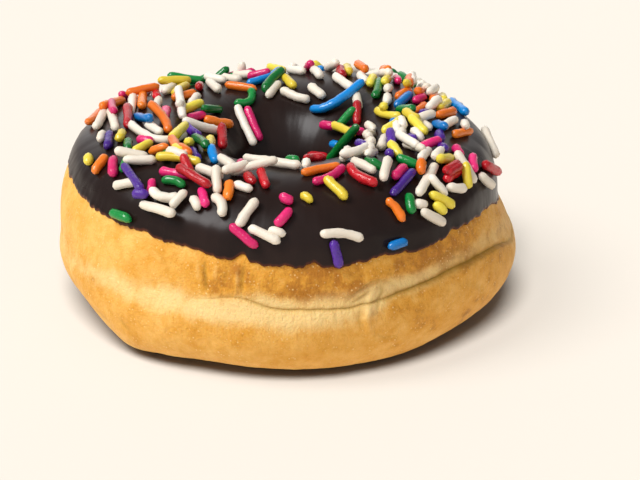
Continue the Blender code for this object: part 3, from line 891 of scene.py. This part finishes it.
# Lays one rod between two places on the coat, on whatever already lies there.
# Returns its centreline and how far the others bear it up.
def layRod(start, end, middle, halfWidth, settings, laid, chance):
    first, firstOut = placeOnCoat(*start)
    last, lastOut = placeOnCoat(*end)
    up = (firstOut + lastOut).normalized()
    if middle:
        bend = placeOnCoat(*middle)[0] - (first + last) / 2
    else:
        bend = (last - first).cross(up).normalized() * chance.uniform(-1, 1) * settings["crook"] * halfWidth * 2
    bend -= up * bend.dot(up)
    along = (last - first).normalized()
    first = first - along * halfWidth
    last = last + along * halfWidth
    length = (last - first).length
    caps = [min(step * halfWidth / length, 0.45) for step in settings["capSpacing"]]
    inner = max(2, int(length / (1.6 * mm)))
    if middle:
        inner += 3
    shares = caps + [caps[-1] + (1.0 - 2.0 * caps[-1]) * k / inner for k in range(1, inner)]
    shares += [1.0 - cap for cap in reversed(caps)]
    line = [first.lerp(last, share) + bend * 4.0 * share * (1.0 - share) for share in shares]

    tested = [k for k, share in enumerate(shares) if caps[-1] * 0.7 <= share <= 1.0 - caps[-1] * 0.7]
    needs = []
    rise = 0.0
    for k in tested:
        point = line[k]
        bare = coatHeight(point, up) + halfWidth - settings["sink"]
        need = bare
        if laid["points"]:
            others = np.array(laid["points"]) - np.array(point)
            ahead = others @ np.array(up)
            gap = np.array(laid["halfWidths"]) + halfWidth - settings["press"]
            room = gap ** 2 - ((others ** 2).sum(axis=1) - ahead ** 2)
            touching = room > 0
            if touching.any():
                need = max(need, float((ahead[touching] + np.sqrt(room[touching])).max()))
        needs.append(min(need, bare + settings["mostRise"]))
        rise += (needs[-1] - bare) / len(tested)
    low, high = restingLine([shares[k] for k in tested], needs)
    steepest = settings["steepest"] * length
    if abs(high - low) > steepest:
        middleHeight = (low + high) / 2
        tilt = math.copysign(steepest / 2, high - low)
        low, high = middleHeight - tilt, middleHeight + tilt
    return [point + up * (low + (high - low) * share) for point, share in zip(line, shares)], rise


def noteRod(line, halfWidth, laid):
    for start, end in zip(line, line[1:]):
        steps = max(1, int((end - start).length / (0.5 * mm)))
        for k in range(steps):
            laid["points"].append(tuple(start.lerp(end, k / steps)))
            laid["halfWidths"].append(halfWidth)


def sprinkleBodiesTree():
    tree = bpy.data.node_groups.new("sprinkleBodies", "GeometryNodeTree")
    tree.interface.new_socket("Geometry", in_out="INPUT", socket_type="NodeSocketGeometry")
    tree.interface.new_socket("Sides", in_out="INPUT", socket_type="NodeSocketInt")
    for name in ("Dent Depth", "Dent Size", "Tip Width"):
        tree.interface.new_socket(name, in_out="INPUT", socket_type="NodeSocketFloat")
    tree.interface.new_socket("Material", in_out="INPUT", socket_type="NodeSocketMaterial")
    tree.interface.new_socket("Geometry", in_out="OUTPUT", socket_type="NodeSocketGeometry")
    given = addNode(tree, "NodeGroupInput").outputs
    line = addNode(tree, "GeometryNodeMeshToCurve", None, {"Mesh": given["Geometry"]}).outputs[0]
    halfWidth = addNode(tree, "GeometryNodeInputNamedAttribute", None, {"Name": "halfWidth"}).outputs["Attribute"]
    capLength = addNode(tree, "GeometryNodeInputNamedAttribute", None, {"Name": "capLength"}).outputs["Attribute"]

    # Rounded ends: the width shrinks as the square root of 1 - (1 - share) squared, down to a small tip
    reached = addNode(tree, "GeometryNodeSplineParameter").outputs["Length"]
    total = addNode(tree, "GeometryNodeSplineLength").outputs["Length"]
    remaining = addNode(tree, "ShaderNodeMath", {"operation": "SUBTRACT"}, {0: total, 1: reached}).outputs[0]
    fromTip = addNode(tree, "ShaderNodeMath", {"operation": "MINIMUM"}, {0: reached, 1: remaining}).outputs[0]
    share = addNode(tree, "ShaderNodeMath", {"operation": "DIVIDE", "use_clamp": True}, {
        0: fromTip, 1: capLength}).outputs[0]
    rest = addNode(tree, "ShaderNodeMath", {"operation": "SUBTRACT"}, {0: 1.0, 1: share}).outputs[0]
    square = addNode(tree, "ShaderNodeMath", {"operation": "MULTIPLY"}, {0: rest, 1: rest}).outputs[0]
    inside = addNode(tree, "ShaderNodeMath", {"operation": "SUBTRACT"}, {0: 1.0, 1: square}).outputs[0]
    rounded = addNode(tree, "ShaderNodeMath", {"operation": "SQRT"}, {0: inside}).outputs[0]
    floored = addNode(tree, "ShaderNodeMath", {"operation": "MAXIMUM"}, {0: rounded, 1: given["Tip Width"]}).outputs[0]
    width = addNode(tree, "ShaderNodeMath", {"operation": "MULTIPLY"}, {0: floored, 1: halfWidth}).outputs[0]

    section = addNode(tree, "GeometryNodeCurvePrimitiveCircle", None, {
        "Resolution": given["Sides"], "Radius": 1.0}).outputs[0]
    rod = addNode(tree, "GeometryNodeCurveToMesh", None, {
        "Curve": line, "Profile Curve": section, "Scale": width, "Fill Caps": True}).outputs[0]

    # Slight dents and swellings, as on extruded sugar
    dentScale = addNode(tree, "ShaderNodeMath", {"operation": "DIVIDE"}, {0: 1.0, 1: given["Dent Size"]}).outputs[0]
    dents = addNode(tree, "ShaderNodeTexNoise", {"normalize": False}, {"Scale": dentScale, "Detail": 1.0})
    dentHeight = addNode(tree, "ShaderNodeMath", {"operation": "MULTIPLY"}, {
        0: dents.outputs["Fac"], 1: given["Dent Depth"]}).outputs[0]
    normal = addNode(tree, "GeometryNodeInputNormal").outputs["Normal"]
    offset = addNode(tree, "ShaderNodeVectorMath", {"operation": "SCALE"}, {0: normal, "Scale": dentHeight}).outputs[0]
    dented = addNode(tree, "GeometryNodeSetPosition", None, {"Geometry": rod, "Offset": offset}).outputs[0]
    smooth = addNode(tree, "GeometryNodeSetShadeSmooth", None, {"Geometry": dented}).outputs[0]
    realized = addNode(tree, "GeometryNodeRealizeInstances", None, {"Geometry": smooth}).outputs[0]
    finished = addNode(tree, "GeometryNodeSetMaterial", None, {
        "Geometry": realized, "Material": given["Material"]}).outputs[0]
    addNode(tree, "NodeGroupOutput", None, {"Geometry": finished})
    return tree


def scatteredRod(region, settings, laid, chance):
    _, fromTurn, toTurn, fromSweep, toSweep = region
    halfWidth = chance.uniform(*settings["thickness"])
    best = None
    for _ in range(settings["tries"]):
        turn = chance.uniform(fromTurn, toTurn)
        sweep = chance.uniform(fromSweep, toSweep)
        length = chance.uniform(*settings["scatteredLength"]) / mm
        heading = chance.uniform(0.0, 2.0 * math.pi)
        stepTurn = length / 2 * math.cos(heading) / turnStep
        stepSweep = length / 2 * math.sin(heading) / sweepStep
        start = (turn - stepTurn, sweep - stepSweep)
        line, rise = layRod(start, (turn + stepTurn, sweep + stepSweep), None, halfWidth, settings, laid, chance)
        if best is None or rise < best[1]:
            best = (line, rise)
    return best[0], halfWidth


def laySprinkles(settings):
    chance = random.Random(settings["seed"])
    laid = {"points": [], "halfWidths": []}
    rods = {}
    for colour, start, end, *middle in laidSprinkles:
        halfWidth = chance.uniform(*settings["thickness"])
        line, _ = layRod(start, end, middle[0] if middle else None, halfWidth, settings, laid, chance)
        noteRod(line, halfWidth, laid)
        rods.setdefault(colour, []).append((line, halfWidth, chance.random()))
    names = [name for name, _ in settings["scatteredColours"]]
    weights = [weight for _, weight in settings["scatteredColours"]]
    for region in settings["scattered"]:
        for _ in range(region[0]):
            colour = chance.choices(names, weights)[0]
            line, halfWidth = scatteredRod(region, settings, laid, chance)
            noteRod(line, halfWidth, laid)
            rods.setdefault(colour, []).append((line, halfWidth, chance.random()))
    return rods


def makeSprinkles(colour, rods, settings, tree, material):
    points = []
    edges = []
    halfWidths = []
    tones = []
    for line, halfWidth, tone in rods:
        edges += [(len(points) + k, len(points) + k + 1) for k in range(len(line) - 1)]
        points += line
        halfWidths += [halfWidth] * len(line)
        tones += [tone] * len(line)
    piece = objectFromMesh(f"{colour}Sprinkles", points, [], edges)
    storeValues(piece, "halfWidth", halfWidths)
    storeValues(piece, "capLength", halfWidths)
    storeValues(piece, "tone", tones)
    return applyTree(piece, tree, {
        "Sides": settings["sides"], "Dent Depth": settings["dentDepth"], "Dent Size": settings["dentSize"],
        "Tip Width": 0.3, "Material": material})


# Sugar shells, glazed and dyed: opaque, satin to glossy, each one a little lighter or darker than the next.
# The white ones are duller, and creamy.
sprinkleLooks = {
    "white": {"colour": "#f4eadb", "dark": "#dfd2be", "roughness": 0.42, "pitting": 0.35},
    "yellow": {"colour": "#efdb4b", "dark": "#d8b92c", "roughness": 0.26, "pitting": 0.4},
    "orange": {"colour": "#f58220", "dark": "#dc6612", "roughness": 0.24, "pitting": 0.45},
    "red": {"colour": "#d51f2b", "dark": "#9a0d15", "roughness": 0.20, "pitting": 0.9},
    "pink": {"colour": "#ea2a78", "dark": "#c21058", "roughness": 0.22, "pitting": 0.65},
    "green": {"colour": "#0f8a3c", "dark": "#055a1f", "roughness": 0.18, "pitting": 0.45},
    "blue": {"colour": "#0788d6", "dark": "#0565ac", "roughness": 0.18, "pitting": 0.35},
    "purple": {"colour": "#582a9c", "dark": "#371574", "roughness": 0.22, "pitting": 1.0},
}


def sugarShell(colour, look):
    material = newMaterial(f"sugarShell{colour.capitalize()}")
    tree = material.node_tree
    place = addNode(tree, "ShaderNodeTexCoord").outputs["Object"]
    tone = addNode(tree, "ShaderNodeAttribute", {"attribute_name": "tone"}).outputs["Fac"]
    mottle = addNode(tree, "ShaderNodeTexNoise", None, {"Vector": place, "Scale": 1.0 / (1.6 * mm), "Detail": 2.0})
    share = addNode(tree, "ShaderNodeMath", {"operation": "MULTIPLY_ADD", "use_clamp": True}, {
        0: mottle.outputs["Fac"], 1: 0.6, 2: tone}).outputs[0]
    deep = addNode(tree, "ShaderNodeMapRange", None, {
        "Value": share, "From Min": 0.35, "From Max": 1.3, "To Max": 1.0}).outputs["Result"]
    body = addNode(tree, "ShaderNodeMix", {"data_type": "RGBA"}, {
        0: deep, 6: linearColour(look["colour"]), 7: linearColour(look["dark"])})
    pits = addNode(tree, "ShaderNodeTexNoise", None, {"Vector": place, "Scale": 1.0 / (0.55 * mm), "Detail": 2.0})
    skin = addNode(tree, "ShaderNodeBump", None, {
        "Strength": look["pitting"], "Distance": 0.20 * mm, "Height": pits.outputs["Fac"]})
    shader = addNode(tree, "ShaderNodeBsdfPrincipled", None, {
        "Base Color": body.outputs[2], "Roughness": look["roughness"], "Specular IOR Level": 0.5,
        "Subsurface Weight": 0.12, "Subsurface Scale": 0.6 * mm, "Subsurface Radius": (1.0, 0.8, 0.6),
        "Normal": skin.outputs["Normal"]})
    addNode(tree, "ShaderNodeOutputMaterial", None, {"Surface": shader.outputs["BSDF"]})
    return material


sprinkleTree = sprinkleBodiesTree()
for sprinkleColour, colourRods in sorted(laySprinkles(sprinkleSettings).items()):
    sprinkles = makeSprinkles(
        sprinkleColour, colourRods, sprinkleSettings, sprinkleTree,
        sugarShell(sprinkleColour, sprinkleLooks[sprinkleColour]))
    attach(sprinkles, "root")
    print(f"{len(colourRods)} {sprinkleColour} sprinkles laid")


# The floor, the light and the camera

cameraSettings = {
    "lens": 135.0,
    "distance": 0.5,
    "elevation": 22.0,
    "targetHeight": 19.0 * mm,
    "aimRight": 6.6 * mm,
    "aimDown": 6.0 * mm,
}


def makeCamera(settings):
    low, high = cadBox
    elevation = math.radians(settings["elevation"])
    target = Vector(((low.x + high.x) / 2, (low.y + high.y) / 2, settings["targetHeight"]))
    back = Vector((0.0, -math.cos(elevation), math.sin(elevation)))
    up = Vector((0.0, math.sin(elevation), math.cos(elevation)))
    camera = bpy.data.objects.new("camera", bpy.data.cameras.new("camera"))
    camera.data.lens = settings["lens"]
    camera.location = target + back * settings["distance"]
    aim = target + Vector((settings["aimRight"], 0.0, 0.0)) - up * settings["aimDown"]
    camera.rotation_euler = (aim - camera.location).to_track_quat("-Z", "Y").to_euler()
    bpy.context.scene.collection.objects.link(camera)
    bpy.context.scene.camera = camera


makeCamera(cameraSettings)

floorSettings = {"side": 6.0, "colour": "#89847d"}


def makeFloor(settings):
    half = settings["side"] / 2
    floor = objectFromMesh(
        "floor", [(-half, -half, 0), (half, -half, 0), (half, half, 0), (-half, half, 0)], [(0, 1, 2, 3)])
    material = newMaterial("mattPaper")
    tree = material.node_tree
    shader = addNode(tree, "ShaderNodeBsdfPrincipled", None, {
        "Base Color": linearColour(settings["colour"]), "Roughness": 1.0, "Specular IOR Level": 0.0})
    addNode(tree, "ShaderNodeOutputMaterial", None, {"Surface": shader.outputs["BSDF"]})
    floor.data.materials.append(material)
    return floor


floor = makeFloor(floorSettings)

lightSettings = {
    "wall": "#fff6e9",  # what the camera sees past the floor
    "fill": 0.24,
    # Broad soft lights in the sky: (direction to the light, sharpness, strength)
    "softLights": (
        ((-0.80, -0.50, 0.35), 2.0, 0.50),
        ((0.42, -0.85, 0.36), 2.0, 0.58),
        ((-0.10, 0.95, 0.25), 8.0, 1.7),
    ),
    # Lamps: name, direction to the light, strength, how wide it looks in degrees, whether it lights the floor only
    "lamps": (
        ("key", (-0.56, -0.20, 0.79), 2.9, 30.0, False),
        ("overhead", (-0.09, -0.62, 0.78), 11.6, 25.0, True),
    ),
}


def makeLight(settings):
    world = bpy.data.worlds.new("studio")
    bpy.context.scene.world = world
    world.use_nodes = True
    tree = world.node_tree
    tree.nodes.clear()
    direction = addNode(tree, "ShaderNodeTexCoord").outputs["Generated"]
    total = None
    for towards, sharpness, strength in settings["softLights"]:
        facing = addNode(tree, "ShaderNodeVectorMath", {"operation": "DOT_PRODUCT"}, {
            0: direction, 1: Vector(towards).normalized()}).outputs["Value"]
        lit = addNode(tree, "ShaderNodeMath", {"operation": "MAXIMUM"}, {0: facing, 1: 0.0}).outputs[0]
        lobe = addNode(tree, "ShaderNodeMath", {"operation": "POWER"}, {0: lit, 1: sharpness}).outputs[0]
        total = addNode(tree, "ShaderNodeMath", {"operation": "MULTIPLY_ADD"}, {
            0: lobe, 1: strength, 2: settings["fill"] if total is None else total}).outputs[0]
    sky = addNode(tree, "ShaderNodeBackground", None, {"Strength": total})
    wall = addNode(tree, "ShaderNodeBackground", None, {"Color": linearColour(settings["wall"])})
    seen = addNode(tree, "ShaderNodeLightPath").outputs["Is Camera Ray"]
    chosen = addNode(tree, "ShaderNodeMixShader", None, {
        0: seen, 1: sky.outputs[0], 2: wall.outputs[0]}).outputs[0]
    addNode(tree, "ShaderNodeOutputWorld", None, {"Surface": chosen})

    floorOnly = bpy.data.collections.new("floorOnly")
    floorOnly.objects.link(floor)
    for name, towards, strength, angle, onlyFloor in settings["lamps"]:
        lamp = bpy.data.objects.new(name, bpy.data.lights.new(name, "SUN"))
        lamp.data.energy = strength
        lamp.data.angle = math.radians(angle)
        lamp.rotation_euler = Vector(towards).to_track_quat("Z", "Y").to_euler()
        bpy.context.scene.collection.objects.link(lamp)
        if onlyFloor:
            lamp.light_linking.receiver_collection = floorOnly
    bpy.context.scene.view_settings.view_transform = "Standard"


makeLight(lightSettings)
print("floor, light and camera made")
